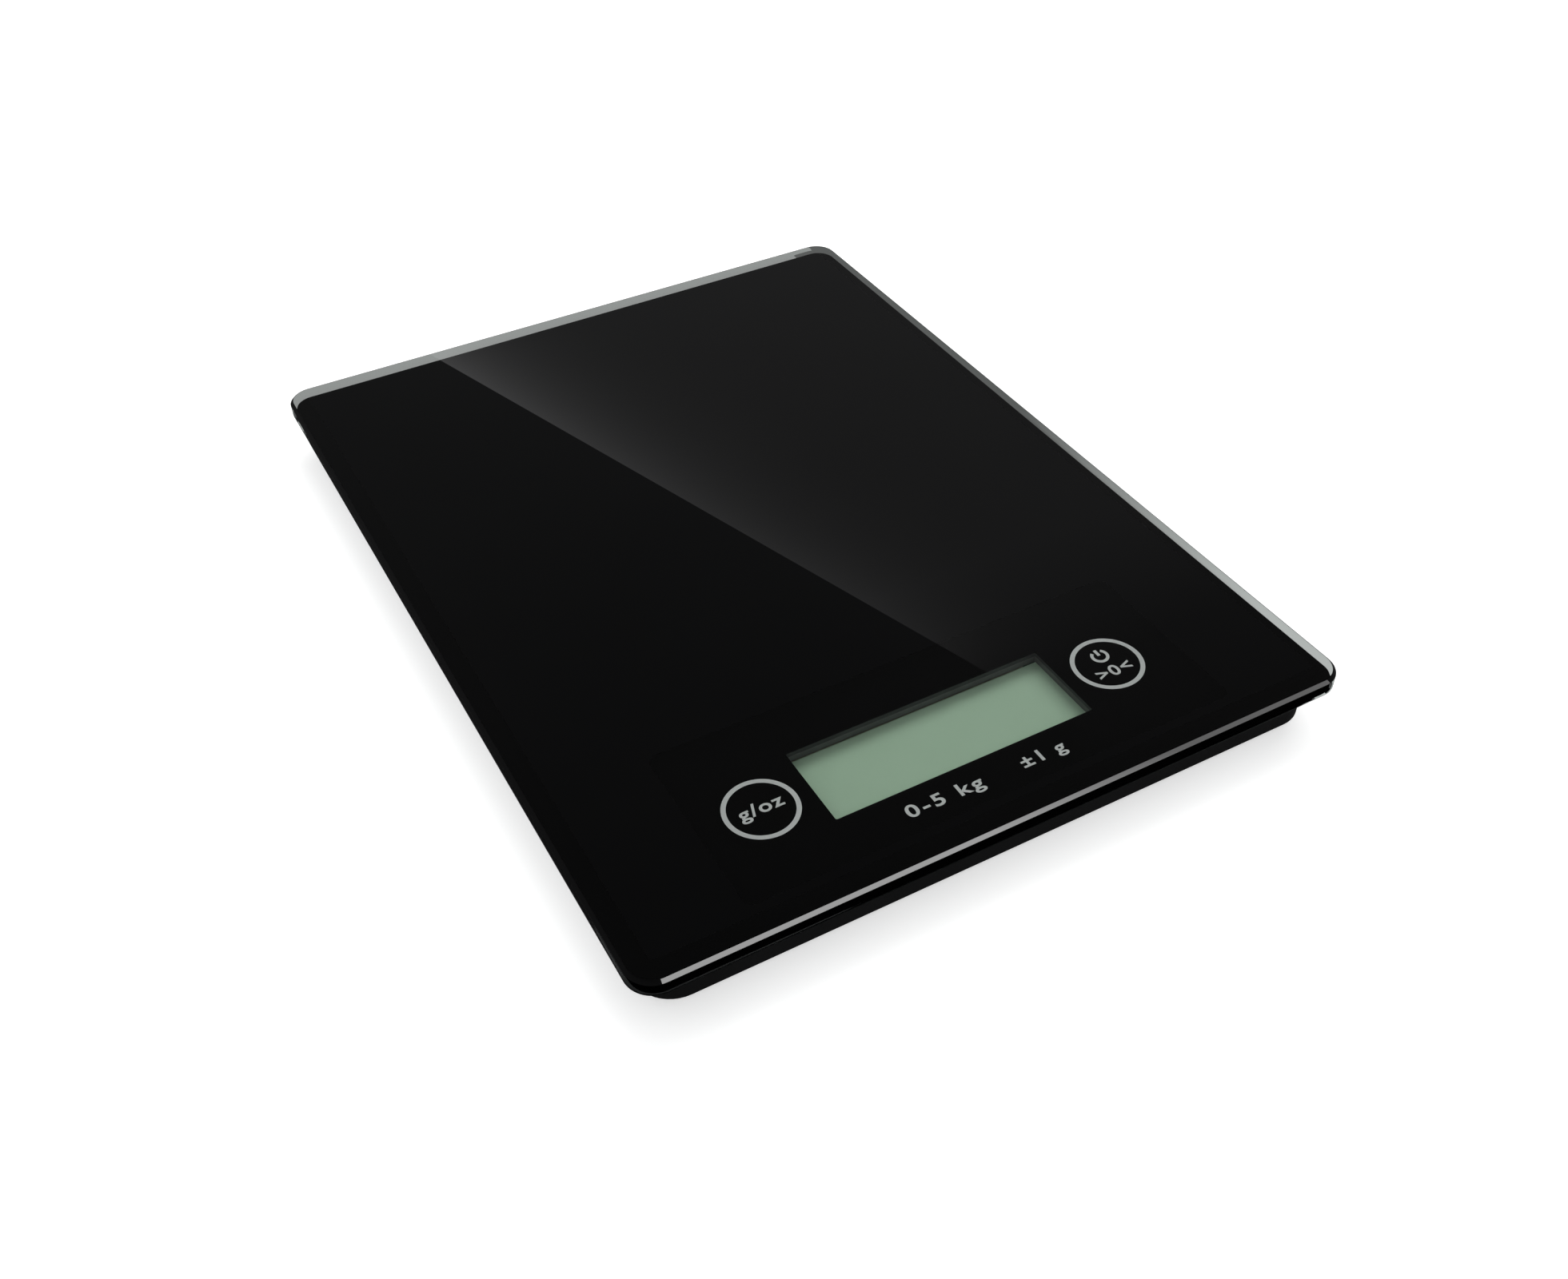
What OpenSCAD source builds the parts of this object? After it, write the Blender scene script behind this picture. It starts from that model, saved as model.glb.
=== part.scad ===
// Flat glass-topped digital kitchen scale.
// Origin: on the table, under the centre of the platform. +Z up, +Y to the rear, -Y is the display end.
// All dimensions in millimetres.

/* [Platform] */
// Width of the glass platform
glass_w = 160; // [158:1:168]
// Length of the glass platform
glass_l = 215; // [214:1:226]
// Thickness of the tempered glass
glass_t = 4; // [3:0.5:6]
// Corner radius of the glass
glass_r = 6; // [4:0.5:10]
// Ground bevel along the upper edge
bevel_top = 0.75; // [0.3:0.05:1]
// Ground bevel along the lower edge
bevel_bottom = 0.4; // [0.2:0.1:0.8]
// Clear margin between the printed back and the glass along each side
print_margin = 1.2; // [0.6:0.1:2.5]
// Clear margin at the rear edge, wider than at the front because the print sits forward
print_rear = 2.3; // [1:0.1:2.5]
// Clear margin at the display edge
print_front = 0.9; // [0.6:0.1:2]

/* [Display and keys] */
// Width of the display window
window_w = 59.7; // [50:0.1:60]
// Height of the display window
window_l = 19.8; // [16:0.1:20.5]
// Distance of the window's centre in front of the platform's centre
window_y = 78.6; // [78.2:0.1:79]
// Sideways distance of each touch key from the centre
key_x = 40.8; // [40.4:0.1:41.2]
// Outer diameter of the ring printed round each key
key_d = 15.5; // [12:0.5:17]
// Width of the printed ring line
key_line = 1.0; // [0.5:0.1:1.5]

/* [Body] */
// Width of the plastic body under the glass
body_w = 153; // [151:1:154]
// Length of the plastic body under the glass
body_l = 208; // [206:1:210]
// Corner radius of the body
body_r = 8; // [6:0.5:9]
// Wall and floor thickness of the bottom cover
wall = 1.6; // [1.4:0.1:1.8]
// Height of the cover's underside above the table
clearance_z = 1.8; // [1.6:0.1:2]

/* [Feet and load cells] */
// Sideways distance of each foot from the centre
foot_x = 60; // [59.5:0.5:60.5]
// Lengthways distance of each foot from the centre
foot_y = 88; // [87:0.5:88.5]
// Diameter of each foot where it passes through the cover
foot_d = 18; // [16:0.5:18]
// Side of each square load cell plate
cell_side = 24; // [23.5:0.5:24]
// Thickness of each load cell plate
cell_t = 1.5; // [1:0.1:1.6]

/* [Battery] */
// Diameter of the coin cell
coin_d = 20; // [18:1:20]
// Thickness of the coin cell
coin_t = 3.2; // [2:0.1:3.2]
// Lengthways position of the coin cell
coin_y = 26.5; // [26:0.5:27]

/* [Hidden] */
$fn = 48;

// levels, from the table up
z_cover = clearance_z;              // underside of the cover
z_floor = z_cover + wall;           // cover's inner floor
z_seam = 9.0;                       // top of the cover's wall, underside of the carrier plate
z_plate = 10.5;                     // top of the carrier plate
z_tape = 10.9;                      // top of the tape, underside of the print
z_glass = 11.0;                     // underside of the glass
z_top = z_glass + glass_t;

z_cell = 6.2;                       // underside of the load cell plate
z_flange = 3.8;                     // underside of each foot's flange
foot_gap = 0.3;                     // radial gap round each foot
flange_d = foot_d + 3;

z_board = 4.5;                      // underside of the board
board_t = 0.8;
z_board_top = z_board + board_t;
board_w = 95;
board_l = 29.5;
board_y = -78.75;

win_y = -window_y;
key_y = -79;

lcd_w = 64;
lcd_l = 26;
lcd_sheet = 0.8;                    // each glass sheet of the display
z_lcd_top = 7.5;
lead_z = z_board_top + 0.35;        // where the leads lie on the board

door_w = 27.4;
door_gap = 0.3;
hinge_y = 42.3;                     // the door's hinge line
hinge_z = 3.0;
hinge_r = 1.2;
door_front = 12.9;                  // the door's free edge
well_w = 22.4;
well_l = 24;
well_y = 27;
z_roof = 7.2;

screw_at = [[68, 48], [-68, 48], [68, -48], [-68, -48], [0, 97], [0, -98]];
board_screw_at = [[44.5, -67], [-44.5, -67], [44.5, -90.5], [-44.5, -90.5]];
// name order of the corners: fl, fr, bl, br
corners = [[-1, -1], [1, -1], [-1, 1], [1, 1]];

lead_r = 0.35;
lead_pitch = 1.1;                   // between neighbouring leads

// ---------- helpers ----------

// rounded rectangle with true arcs
module rrect(w, l, r) {
    difference() {
        square([w, l], center = true);
        for (sx = [-1, 1], sy = [-1, 1])
            translate([sx * (w / 2 - r), sy * (l / 2 - r)])
                difference() {
                    translate([sx > 0 ? 0 : -r - 1, sy > 0 ? 0 : -r - 1]) square(r + 1);
                    circle(r);
                }
    }
}

module rblock(w, l, r, z0, z1) {
    translate([0, 0, z0]) linear_extrude(z1 - z0) rrect(w, l, r);
}

// rounded slab whose upper and lower edges are bevelled by bt and bb
module bevelled(w, l, r, z0, z1, bt, bb) {
    h = z1 - z0;
    function half(a) = [[-a, bb], [-a + bb, 0], [a - bb, 0], [a, bb], [a, h - bt], [a - bt, h], [-a + bt, h], [-a, h - bt]];
    translate([0, 0, z0]) {
        // across the width
        translate([0, l / 2 - r, 0]) rotate([90, 0, 0]) linear_extrude(l - 2 * r) polygon(clean(half(w / 2)));
        // along the length
        translate([-(w / 2 - r), 0, 0]) rotate([90, 0, 90]) linear_extrude(w - 2 * r) polygon(clean(half(l / 2)));
        for (sx = [-1, 1], sy = [-1, 1])
            translate([sx * (w / 2 - r), sy * (l / 2 - r), 0])
                rotate_extrude() polygon(clean([[0, 0], [r - bb, 0], [r, bb], [r, h - bt], [r - bt, h], [0, h]]));
    }
}

// drops points that repeat the one before them
function clean(p) = [for (i = [0:len(p) - 1]) if (norm(p[i] - p[(i + len(p) - 1) % len(p)]) > 0.001) p[i]];

module at_corner(i) {
    translate([corners[i][0] * foot_x, corners[i][1] * foot_y, 0]) children();
}

module disc(d, z0, z1) { translate([0, 0, z0]) cylinder(d = d, h = z1 - z0); }

module ring(d1, d2, z0, z1) {
    difference() {
        disc(d1, z0, z1);
        disc(d2, z0 - 1, z1 + 1);
    }
}

// tube of radius r along a list of points, closed at both ends
module swept(path, r, sides = 8) {
    n = len(path);
    function dir(i) = let (a = path[max(i - 1, 0)], b = path[min(i + 1, n - 1)]) (b - a) / norm(b - a);
    function side(d) = let (u = cross(d, [0.03, 0.02, 1]), v = norm(u) > 0.05 ? u : cross(d, [1, 0.02, 0.03])) v / norm(v);
    pts = [for (i = [0:n - 1]) let (d = dir(i), a = side(d), b = cross(a, d)) for (k = [0:sides - 1])
        path[i] + r * (cos(360 * k / sides) * a + sin(360 * k / sides) * b)];
    faces = concat(
        [[for (k = [0:sides - 1]) k]],
        [for (i = [0:n - 2], k = [0:sides - 1]) let (a = i * sides + k, b = i * sides + (k + 1) % sides) [a, a + sides, b + sides, b]],
        [[for (k = [sides - 1:-1:0]) (n - 1) * sides + k]]);
    polyhedron(points = pts, faces = faces, convexity = 4);
}

// points of a smooth curve through the given ones
function curve(p, steps = 4) = concat(
    [for (i = [0:len(p) - 2], s = [0:steps - 1])
        let (t = s / steps, p0 = p[max(i - 1, 0)], p1 = p[i], p2 = p[i + 1], p3 = p[min(i + 2, len(p) - 1)])
        0.5 * ((2 * p1) + (p2 - p0) * t + (2 * p0 - 5 * p1 + 4 * p2 - p3) * t * t + (3 * p1 - p0 - 3 * p2 + p3) * t * t * t)],
    [p[len(p) - 1]]);

// ---------- platform ----------

module glass_platform() {
    color([0.75, 0.85, 0.82, 0.4])
        bevelled(glass_w, glass_l, glass_r, z_glass, z_top, bevel_top, bevel_bottom);
}

module key_rings_2d() {
    for (s = [-1, 1]) translate([s * key_x, key_y])
        difference() {
            circle(d = key_d);
            circle(d = key_d - 2 * key_line);
        }
}

module back_print() {
    color("black") translate([0, 0, z_tape]) linear_extrude(z_glass - z_tape) difference() {
        translate([0, (print_front - print_rear) / 2])
            rrect(glass_w - 2 * print_margin, glass_l - print_front - print_rear, glass_r - print_margin);
        translate([0, win_y]) square([window_w, window_l], center = true);
        key_rings_2d();
    }
}

module key_ring_print() {
    color("white") translate([0, 0, z_tape]) linear_extrude(z_glass - z_tape) key_rings_2d();
}

module bond_tape() {
    color([0.16, 0.16, 0.17]) translate([0, 0, z_plate]) linear_extrude(z_tape - z_plate) difference() {
        rrect(body_w - 4, body_l - 4, 5);
        rrect(body_w - 16, body_l - 16, 2);
    }
}

module window_gasket() {
    color([0.12, 0.12, 0.12]) translate([0, win_y, z_plate]) linear_extrude(z_tape - z_plate) difference() {
        rrect(window_w + 7.5, window_l + 7.5, 1.5);
        square([window_w + 1.5, window_l + 1.5], center = true);
    }
}

// ---------- body ----------

module carrier_frame() {
    color([0.1, 0.1, 0.105]) difference() {
        union() {
            rblock(body_w - 1, body_l - 1, body_r - 0.5, z_seam, z_plate);
            // lip that locates inside the cover's wall
            difference() {
                rblock(body_w - 2 * wall - 0.4, body_l - 2 * wall - 0.4, body_r - wall - 0.2, z_seam - 1.2, z_seam + 0.2);
                rblock(body_w - 2 * wall - 3.4, body_l - 2 * wall - 3.4, body_r - wall - 1.7, 7, z_seam + 1);
            }
            // posts that take the cover screws
            for (p = screw_at) translate([p[0], p[1], 0]) disc(6, 5.2, z_seam + 0.2);
            // posts that take the board screws
            for (p = board_screw_at) translate([p[0], p[1], 0]) disc(4.5, z_board_top, z_seam + 0.2);
            // seats that the load cells push up against
            for (c = corners, sx = [-1, 1], sy = [-1, 1])
                translate([c[0] * foot_x + sx * (cell_side / 2 - 2.1), c[1] * foot_y + sy * (cell_side / 2 - 2.1), 0])
                    disc(3.2, z_cell + cell_t, z_seam + 0.2);
            // stiffening ribs
            for (s = [-1, 1]) {
                translate([s * 30 - 0.6, -56, z_seam - 1.1]) cube([1.2, 132, 1.2]);
                translate([s * 47 - 0.6, -56, z_seam - 1.1]) cube([1.2, 120, 1.2]);
            }
            for (s = [-1, 1], y = [-50, -12, 60])
                translate([s > 0 ? 18 : -62, y - 0.6, z_seam - 1.1]) cube([44, 1.2, 1.2]);
        }
        // display window, opening over the battery well, and touch key holes
        translate([0, 26, 0]) rblock(33, 31, 2, 7, 12);
        translate([-(window_w + 1.5) / 2, win_y - (window_l + 1.5) / 2, 7]) cube([window_w + 1.5, window_l + 1.5, 6]);
        for (s = [-1, 1]) translate([s * key_x, key_y, 0]) disc(11.4, 7, 13);
        for (p = screw_at) translate([p[0], p[1], 0]) disc(2.3, 4, z_plate - 0.8);
        for (p = board_screw_at) translate([p[0], p[1], 0]) disc(1.9, 4, z_plate - 1);
    }
}

module bottom_cover() {
    color([0.08, 0.08, 0.085]) difference() {
        union() {
            difference() {
                bevelled(body_w, body_l, body_r, z_cover, z_seam, 0, 1.1);
                rblock(body_w - 2 * wall, body_l - 2 * wall, body_r - wall, z_floor, z_seam + 1);
            }
            // screw bosses
            for (p = screw_at) translate([p[0], p[1], 0]) disc(7.5, z_floor - 0.2, 5.2);
            // collars round the feet, posts and pegs under the load cells
            for (c = corners) translate([c[0] * foot_x, c[1] * foot_y, 0]) {
                disc(flange_d + 3.6, z_floor - 0.2, 5.6);
                for (sx = [-1, 1], sy = [-1, 1])
                    translate([sx * (cell_side / 2 - 2.1), sy * (cell_side / 2 - 2.1), 0]) disc(3.2, z_floor - 0.2, z_cell);
                for (s = [-1, 1])
                    translate([s * (cell_side / 2 - 2.1), s * (cell_side / 2 - 2.1), 0]) disc(1.4, z_floor - 0.2, z_cell + 1.2);
            }
            // battery well and the thicker frame round its door
            translate([0, (door_front + 43.8) / 2, 0]) rblock(36, 43.8 - door_front + 6, 2, z_floor - 0.2, 4.6);
            translate([0, well_y, 0]) rblock(well_w + 2.4, well_l + 2.4, 1.5, z_floor - 0.2, z_roof + 1);
            translate([-17, hinge_y - 3, z_floor - 0.2]) cube([34, 5.4, 2.2]);
            // floor ribs
            for (s = [-1, 1]) translate([s * 36 - 0.6, -50, z_floor - 0.2]) cube([1.2, 120, 1.4]);
            translate([-50, -54.6, z_floor - 0.2]) cube([100, 1.2, 0.9]);
            translate([-50, 70, z_floor - 0.2]) cube([100, 1.2, 0.9]);
        }
        // counterbored screw holes
        for (p = screw_at) translate([p[0], p[1], 0]) {
            disc(4.8, 0, 3.5);
            disc(2.6, 0, 6);
        }
        // openings for the feet
        for (c = corners) translate([c[0] * foot_x, c[1] * foot_y, 0]) {
            disc(foot_d + 2 * foot_gap, 0, 6);
            disc(flange_d + 2 * foot_gap + 0.2, z_floor, 6);
        }
        // recess for the door, the well and the hinge line
        translate([-(door_w / 2 + door_gap), door_front - door_gap, z_cover - 1])
            cube([door_w + 2 * door_gap, 43.8 - door_front + door_gap, z_floor - z_cover + 1]);
        translate([0, well_y, 0]) rblock(well_w, well_l, 0.8, z_cover, z_roof);
        translate([-(door_w / 2 + door_gap), hinge_y, hinge_z]) rotate([0, 90, 0]) cylinder(r = hinge_r + 0.3, h = door_w + 2 * door_gap);
        translate([-(door_w / 2 + 2.4), hinge_y, hinge_z]) rotate([0, 90, 0]) cylinder(r = 0.9, h = door_w + 4.8);
        // finger scoop in front of the door
        translate([0, door_front - 0.6, z_cover]) disc(11, -1, 0.9);
        // slots for the contact tabs
        translate([-9.6, well_y - 1.4, z_roof - 0.5]) cube([0.6, 2.8, 3]);
        translate([well_w / 2 - 0.6, 31.4, z_roof - 0.5]) cube([0.8, 2.6, 3]);
        // shallow panel on the underside
        translate([0, -30, 0]) rblock(62, 34, 2, z_cover - 1, z_cover + 0.25);
    }
}

module pan_screw(d, len, head_d, head_h, recess) {
    // head's bearing face at z = 0, shank up, head down
    difference() {
        union() {
            translate([0, 0, -head_h]) cylinder(d1 = head_d - 0.7, d2 = head_d, h = 0.4);
            translate([0, 0, -head_h + 0.4]) cylinder(d = head_d, h = head_h - 0.4);
            cylinder(d = d, h = len - 0.7);
            translate([0, 0, len - 0.7]) cylinder(d1 = d, d2 = 0.5, h = 0.7);
        }
        for (a = [0, 90]) rotate(a) translate([-recess / 2, -0.25, -head_h - 1]) cube([recess, 0.5, 1.7]);
    }
}

module cover_screws() {
    color([0.6, 0.6, 0.62]) for (p = screw_at) translate([p[0], p[1], 3.5]) rotate(p[0]) pan_screw(2.2, 6, 4.4, 1.3, 2.4);
}

module board_screws() {
    color([0.7, 0.7, 0.72]) for (p = board_screw_at) translate([p[0], p[1], z_board]) rotate(20) pan_screw(1.8, 4.4, 3.4, 0.9, 1.8);
}

// ---------- battery ----------

module battery_door() {
    color([0.085, 0.085, 0.09]) difference() {
        union() {
            // plate
            translate([-door_w / 2, door_front, z_cover]) cube([door_w, hinge_y - door_front, 1.4]);
            // hinge barrel and its two trunnions
            translate([-door_w / 2, hinge_y, hinge_z]) rotate([0, 90, 0]) cylinder(r = hinge_r, h = door_w);
            translate([-(door_w / 2 + 2), hinge_y, hinge_z]) rotate([0, 90, 0]) cylinder(r = 0.8, h = door_w + 4);
            // ribs that hold the coin cell up
            for (s = [-1, 1]) translate([s * 5 - 0.5, 18, z_cover + 1.3]) cube([1, 16, 0.3]);
            // latch barb on the tongue
            translate([-3, door_front - 0.2, z_cover + 0.7]) cube([6, 0.4, 0.5]);
        }
        // flexible latch tongue: a U of slots in the free edge
        for (s = [-1, 1]) translate([s * 4.5 - 0.3, door_front - 1, z_cover - 1]) cube([0.6, 6.5, 4]);
        // grip lines
        for (k = [0:2]) translate([-3, door_front + 1.4 + k * 1.3, z_cover - 1]) cube([6, 0.5, 1.3]);
        // the ledge side of the plate is relieved over the barrel's root
        translate([-5, 36.8, z_cover + 1.1]) cube([10, 2, 1]);
    }
}

module coin_cell() {
    color([0.78, 0.78, 0.8]) translate([0, coin_y, 3.5]) {
        // can, positive face down
        rotate_extrude() polygon([[0, 0], [coin_d / 2 - 0.4, 0], [coin_d / 2, 0.4], [coin_d / 2, coin_t - 0.5],
            [coin_d / 2 - 0.5, coin_t - 0.2], [coin_d / 2 - 1.1, coin_t - 0.2], [coin_d / 2 - 1.1, coin_t - 0.35],
            [coin_d / 2 - 1.5, coin_t - 0.35], [coin_d / 2 - 1.9, coin_t], [0, coin_t]]);
    }
}

module negative_contact() {
    color([0.8, 0.8, 0.78]) {
        difference() {
            union() {
                translate([-9.4, coin_y - 3.5, 7.0]) cube([16.4, 7, 0.2]);
                // tab up through the roof
                translate([-9.4, well_y - 1, 7.0]) cube([0.25, 2, 2.0]);
                // two fingers bent down to the cell
                for (s = [-1, 1]) translate([-4, coin_y + s * 2 + 0.6, 0]) rotate([90, 0, 0]) linear_extrude(1.2)
                    polygon([[0, 7.05], [5, 6.72], [6, 6.72], [7, 6.95], [6.85, 7.05], [5.9, 6.88], [5.1, 6.88], [0, 7.18]]);
            }
            for (s = [-1, 1]) translate([-3.4, coin_y + s * 2 - 0.9, 6.96]) cube([7, 0.25, 1]);
        }
    }
}

module positive_contact() {
    color([0.8, 0.8, 0.78]) {
        // bowed strip against the side of the can
        translate([0, 0, 3.9]) linear_extrude(2.4)
            polygon([[11.1, 20.5], [10.85, 20.5], [10.1, 25.6], [10.1, 27.4], [10.85, 33.6], [11.1, 33.6], [10.35, 27.4], [10.35, 25.6]]);
        // tab up through the roof
        translate([10.85, 31.7, 4]) cube([0.25, 1.9, 5.0]);
    }
}

// ---------- board and display ----------

module circuit_board() {
    color([0.1, 0.35, 0.18]) difference() {
        translate([0, board_y, 0]) rblock(board_w, board_l, 1, z_board, z_board_top);
        for (p = board_screw_at) translate([p[0], p[1], 0]) disc(2.2, 3, 7);
    }
}

module controller_blob() {
    color([0.05, 0.05, 0.05]) intersection() {
        translate([12, -80, z_board - 0.9 + 12]) sphere(r = 12, $fn = 192);
        translate([4, -88, z_board - 1]) cube([16, 16, 1]);
    }
}

module surface_parts() {
    // small resistors and capacitors under the board
    color([0.15, 0.13, 0.1]) for (p = [[-6, -74], [-9, -74], [-12, -74], [-6, -84], [-10, -84], [24, -74], [24, -78], [24, -82], [30, -76], [-20, -80], [-24, -80], [-30, -72]])
        translate([p[0] - 0.8, p[1] - 0.4, z_board - 0.5]) cube([1.6, 0.8, 0.5]);
}

module display_frame() {
    color([0.13, 0.13, 0.135]) translate([0, win_y, 0]) difference() {
        rblock(lcd_w + 3, lcd_l + 2.6, 1, z_board_top, z_seam);
        rblock(lcd_w + 0.4, lcd_l + 0.4, 0.3, z_board_top - 1, z_lcd_top + 0.1);
        rblock(window_w + 1.5, window_l + 1.5, 0.3, z_board_top, z_seam + 1);
    }
}

module display_polariser() {
    color([0.55, 0.62, 0.52]) translate([-lcd_w / 2 + 0.8, win_y - lcd_l / 2 + 0.8, z_lcd_top - 0.2]) cube([lcd_w - 1.6, lcd_l - 3.4, 0.2]);
}

module display_front_glass() {
    color([0.6, 0.7, 0.62]) translate([-lcd_w / 2, win_y - lcd_l / 2, z_lcd_top - 0.2 - lcd_sheet]) cube([lcd_w, lcd_l, lcd_sheet]);
}

module display_rear_glass() {
    color([0.6, 0.7, 0.62]) translate([-lcd_w / 2, win_y - lcd_l / 2, z_lcd_top - 0.2 - 2 * lcd_sheet]) cube([lcd_w, lcd_l - 2.6, lcd_sheet]);
}

module display_reflector() {
    color([0.7, 0.72, 0.7]) translate([-lcd_w / 2 + 0.8, win_y - lcd_l / 2 + 0.8, z_lcd_top - 0.4 - 2 * lcd_sheet]) cube([lcd_w - 1.6, lcd_l - 4.2, 0.2]);
}

module contact_strip() {
    color([0.85, 0.8, 0.7]) translate([-28, win_y + lcd_l / 2 - 2.3, z_board_top]) cube([56, 2, z_lcd_top - 0.2 - lcd_sheet - z_board_top]);
}

module touch_springs() {
    // coils that carry each touch pad up to the glass, wider at the top
    h = z_tape - z_board_top;
    turns = 4.5;
    rings = 78;
    color([0.75, 0.72, 0.6]) for (s = [-1, 1])
        swept([for (i = [0:rings]) let (t = i / rings, u = max(0, min(1, (t * (turns + 1.6) - 0.8) / turns)))
            [s * key_x + (3.2 + 1.4 * t) * cos(360 * (turns + 1.6) * t),
             key_y + (3.2 + 1.4 * t) * sin(360 * (turns + 1.6) * t),
             z_board_top + 0.27 + (h - 0.54) * u]], 0.25, 6);
}

// ---------- load cells and feet ----------

module load_cell(i) {
    inward = -corners[i][1];        // side that the tongue springs from, as a sign on Y
    win = cell_side - 7.6;
    color([0.7, 0.71, 0.73]) translate([corners[i][0] * foot_x, corners[i][1] * foot_y, z_cell])
        linear_extrude(cell_t) difference() {
            union() {
                difference() {
                    rrect(cell_side, cell_side, 2);
                    rrect(win, win, 1);
                }
                // tongue with a narrower neck where the gauge sits
                translate([-3.2, inward > 0 ? -1 : -win / 2 - 0.5]) square([6.4, win / 2 + 1.5]);
                circle(d = 8.4);
            }
            for (s = [-1, 1])
                translate([s * (cell_side / 2 - 2.1), s * (cell_side / 2 - 2.1)]) circle(d = 1.7);
        }
}

module strain_gauges() {
    color([0.75, 0.55, 0.25]) for (c = corners)
        translate([c[0] * foot_x - 2.4, c[1] * (foot_y - 6.1) - 1.5, z_cell + cell_t]) cube([4.8, 3, 0.1]);
}

module gauge_sealant() {
    color([0.92, 0.92, 0.9]) for (c = corners)
        translate([c[0] * foot_x, c[1] * (foot_y - 6.1), 0]) difference() {
            translate([0, 0, z_cell + cell_t]) bevel_pad();
            translate([-2.4, -1.5, z_cell]) cube([4.8, 3, cell_t + 0.1]);
            // sockets for the ends of the leads
            for (k = [-1, 0, 1]) translate([k * lead_pitch, -c[1] * 2.2, 8.2]) rotate([90, 0, 0])
                cylinder(r = lead_r + 0.03, h = 0.64, center = true, $fn = 24);
        }
}

module bevel_pad() {
    bevelled(6.2, 4.2, 1.2, 0, 0.9, 0.4, 0);
}

module foot(i) {
    color([0.09, 0.09, 0.095]) at_corner(i) difference() {
        union() {
            disc(foot_d, 0.9, z_flange + 0.1);
            translate([0, 0, 0.6]) cylinder(d1 = foot_d - 0.6, d2 = foot_d, h = 0.3);
            disc(flange_d, z_flange, 5.0);
            disc(10, 4.9, 5.8);
            disc(5, 5.7, z_cell);
        }
        disc(foot_d - 3, 0, 1.5);
    }
}

module foot_pad(i) {
    color([0.2, 0.2, 0.21]) at_corner(i) difference() {
        union() {
            translate([0, 0, 0.3]) cylinder(d = foot_d - 3, h = 1.2);
            cylinder(d1 = foot_d - 3.6, d2 = foot_d - 3, h = 0.3);
        }
        // grip groove
        translate([0, 0, -0.1]) difference() {
            cylinder(d = 9, h = 0.5);
            translate([0, 0, -0.5]) cylinder(d = 7.6, h = 1.5);
        }
    }
}

// ---------- leads ----------

// middle line of one corner's three leads, on the right-hand side; sy is the end of the body
function cell_route(sy) = sy < 0
    ? [[60, -80, 8.2], [60, -77.5, 8.2], [60, -74.5, 8.1], [59.4, -71, 7.4], [57.4, -67, 6.2], [53.6, -63.2, 5.4],
       [48.6, -60.8, 5.3], [44, -60.8, 5.7], [41.2, -62.4, 6.1], [40.2, -64.6, 6.0], [40.2, -66.8, lead_z]]
    : [[60, 80, 8.2], [60, 77.5, 8.2], [60, 74, 8.0], [59, 70, 6.4], [57, 63, 4.4], [55.5, 40, 4.0], [56.5, 15, 4.0], [55.5, -10, 4.0],
       [54, -32, 4.0], [50.5, -43, 5.0], [45, -50, 6.4], [39.6, -54.4, 6.9], [36.8, -58.6, 6.8], [35.9, -63, 6.2], [35.9, -66.8, lead_z]];

// the path moved sideways by d, level with itself
function beside(p, d) = [for (i = [0:len(p) - 1])
    let (v = p[min(i + 1, len(p) - 1)] - p[max(i - 1, 0)], l = norm([v[0], v[1]])) p[i] + d / l * [v[1], -v[0], 0]];
function mirrored(p, sx) = [for (q = p) [sx * q[0], q[1], q[2]]];

module cell_lead(k) {
    for (sx = [-1, 1], sy = [-1, 1]) swept(mirrored(beside(curve(cell_route(sy), 2), lead_pitch * k), sx), lead_r, 8);
}

negative_route = [[-9.28, 27, 9.4], [-9.8, 24, 9.3], [-12, 18, 8.9], [-15, 9, 6.4], [-16, 0, 4.2], [-14, -20, 4.0], [-10, -40, 4.2],
    [-6, -52, 5.6], [-5, -59, 6.4], [-5, -62.6, 6.1], [-5, -64.3, lead_z]];
positive_route = [[10.98, 32.6, 9.4], [12.2, 29, 9.3], [13.6, 20, 8.9], [15.4, 9, 6.4], [16, 0, 4.2], [13, -20, 4.0], [9, -40, 4.2],
    [6, -52, 5.6], [5, -59, 6.4], [5, -62.6, 6.1], [5, -64.3, lead_z]];

module red_leads() {
    color("crimson") {
        cell_lead(-1);
        swept(curve(positive_route, 2), lead_r, 8);
    }
}

module white_leads() { color("white") cell_lead(0); }

module black_leads() {
    color([0.1, 0.1, 0.1]) {
        cell_lead(1);
        swept(curve(negative_route, 2), lead_r, 8);
    }
}

module solder_joints() {
    // small domes on the board where the leads end
    color([0.75, 0.76, 0.78]) for (sx = [-1, 1], k = [-1, 0, 1], x = [35.9 + k * lead_pitch, 40.2 + k * lead_pitch])
        translate([sx * x, -67.35, z_board_top]) intersection() {
            sphere(r = 0.5);
            translate([-1, -1, 0]) cube(2);
        }
}

glass_platform();
back_print();
key_ring_print();
bond_tape();
window_gasket();
carrier_frame();
bottom_cover();
cover_screws();
battery_door();
coin_cell();
negative_contact();
positive_contact();
circuit_board();
controller_blob();
surface_parts();
board_screws();
display_frame();
display_front_glass();
display_rear_glass();
display_polariser();
display_reflector();
contact_strip();
touch_springs();
load_cell(0);  // load_cell_fl
load_cell(1);  // load_cell_fr
load_cell(2);  // load_cell_bl
load_cell(3);  // load_cell_br
strain_gauges();
gauge_sealant();
foot(0);  // foot_fl
foot(1);  // foot_fr
foot(2);  // foot_bl
foot(3);  // foot_br
foot_pad(0);  // foot_pad_fl
foot_pad(1);  // foot_pad_fr
foot_pad(2);  // foot_pad_bl
foot_pad(3);  // foot_pad_br
red_leads();
white_leads();
black_leads();
solder_joints();
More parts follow.
